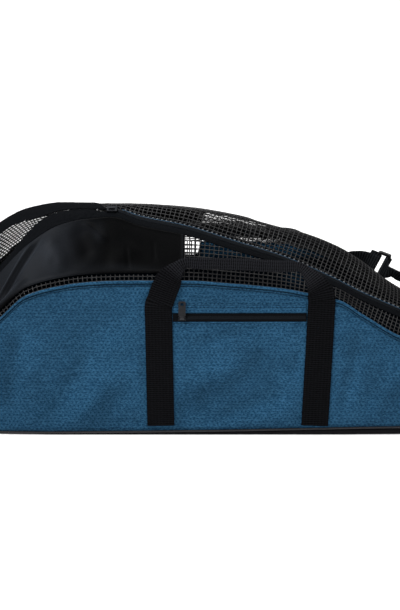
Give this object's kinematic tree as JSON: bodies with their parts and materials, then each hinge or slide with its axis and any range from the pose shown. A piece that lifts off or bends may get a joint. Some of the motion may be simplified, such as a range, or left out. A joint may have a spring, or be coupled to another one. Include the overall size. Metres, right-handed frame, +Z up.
{
  "type": "slalom ski bag",
  "caption": "Long soft bag for a single ski, lying on a padded base, with cloth sides, a net top, a half open long zipper, webbing handles and a shoulder strap.",
  "frame": {"origin": "on the floor, below the middle of the bounding box", "axes": "+X along the bag towards the tip end, -Y out of the near side with the pocket zipper, +Z up"},
  "size_m": [1.8026, 0.2527, 0.3143],
  "materials": {
    "base_cloth": "matte coated cloth",
    "binding": "woven binding",
    "blue_cloth": "heathered blue cloth",
    "net": "coated open net",
    "tarpaulin": "satin coated cloth",
    "zip_tape": "woven tape",
    "zip_coil": "coil",
    "zip_metal": "gunmetal",
    "webbing": "ribbed webbing",
    "strap_webbing": "ribbed webbing",
    "buckle_plastic": "moulded"
  },
  "bodies": {
    "bag": {"base_panel": "base_cloth", "base_piping": "binding", "front_panel": "blue_cloth", "back_panel": "blue_cloth", "front_mesh": "net", "back_mesh": "net", "tarp_panel": "tarpaulin", "main_zip_tape_front": "zip_tape", "main_zip_tape_back": "zip_tape", "main_zip_chain": "zip_coil", "main_zip_slider": "zip_metal", "pocket_zip_tape": "zip_tape", "pocket_zip_chain": "zip_coil", "pocket_slider": "zip_metal", "front_handle": "webbing", "back_handle": "webbing", "shoulder_strap": "strap_webbing", "strap_buckle": "buckle_plastic", "strap_tail": "strap_webbing"},
    "pull": {"pocket_pull": "zip_metal"}
  },
  "joints": [
    {"name": "pull_hinge", "type": "hinge", "parent": "bag", "child": "pull", "pos_m": [-0.02502, -0.12489, 0.17202], "axis": [1, 0, 0], "range_deg": [0, 150]}
  ]
}
